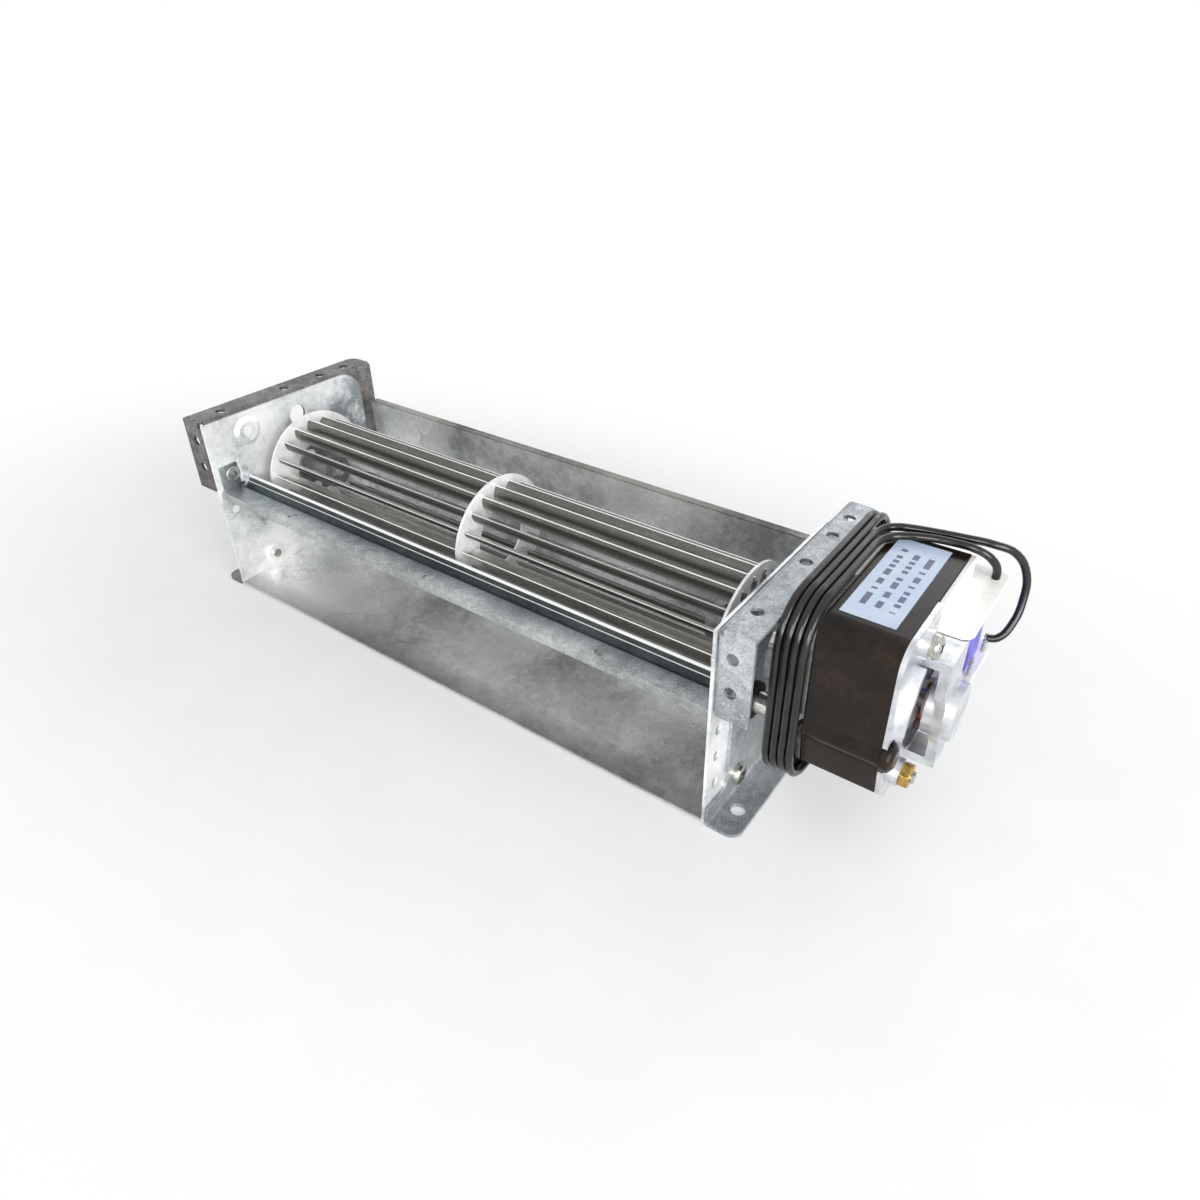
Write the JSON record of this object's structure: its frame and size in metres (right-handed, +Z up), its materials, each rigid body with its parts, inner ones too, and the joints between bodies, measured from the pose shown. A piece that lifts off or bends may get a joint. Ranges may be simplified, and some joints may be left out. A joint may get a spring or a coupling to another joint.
{
  "type": "tangential blower with shaded-pole motor",
  "caption": "Oven fan motor: a long aluminium crossflow impeller in an open sheet steel scroll housing, driven by a shaded-pole motor on its right end.",
  "frame": {"origin": "centre of the four base holes, on the plane that the base flanges stand on", "axes": "+Z up, +X along the impeller towards the motor, +Y to the back, away from the outlet"},
  "size_m": [0.2558, 0.0727, 0.069],
  "materials": {
    "galvanised": "spangled zinc, satin",
    "aluminium": "bright",
    "zinc": "bright zinc plate",
    "die_cast": "as cast, satin",
    "dark_steel": "dark, oiled",
    "rubber": "matte",
    "bronze": "sintered, matte",
    "nylon": "satin",
    "black_paint": "satin, slight brown sheen",
    "copper": "satin",
    "label": "satin film",
    "white_plastic": "satin",
    "tape": "satin tape over the winding",
    "brass": "bright",
    "lead_sheath": "satin gloss",
    "tinned": "tinned"
  },
  "bodies": {
    "housing": {"right_bracket": "galvanised", "left_bracket": "galvanised", "right_cheek": "galvanised", "left_cheek": "galvanised", "scroll": "galvanised", "vortex_wall": "galvanised", "ledge_rivets": "aluminium", "side_screws": "zinc", "bearing_grommet": "rubber", "bearing_bush": "bronze", "stator_stack": "black_paint", "shading_rings": "copper", "stack_rod": "black_paint", "rating_label": "label", "coil_bobbin": "white_plastic", "coil_winding": "tape", "coil_terminals": "zinc", "bracket_outer": "die_cast", "bracket_inner": "die_cast", "bush_outer": "bronze", "bush_inner": "bronze", "stack_screws": "zinc", "stack_nuts": "brass", "motor_grommets": "rubber", "motor_spacers": "zinc", "motor_screws": "zinc", "lead_coil": "lead_sheath", "lead_a": "lead_sheath", "lead_b": "lead_sheath", "lead_tails": "lead_sheath", "lead_ends": "tinned"},
    "rotor": {"impeller_blades": "aluminium", "disc_left": "aluminium", "disc_middle": "aluminium", "disc_right": "aluminium", "hub_left": "die_cast", "hub_right": "die_cast", "hub_rivets": "aluminium", "set_screw": "dark_steel", "stub_shaft": "zinc", "thrust_washer": "nylon", "rotor_core": "dark_steel", "motor_shaft": "zinc", "shaft_washers": "nylon"}
  },
  "joints": [
    {"name": "rotor_spin", "type": "hinge", "parent": "housing", "child": "rotor", "pos_m": [0, 0, 0.037], "axis": [1, 0, 0], "continuous": true}
  ]
}
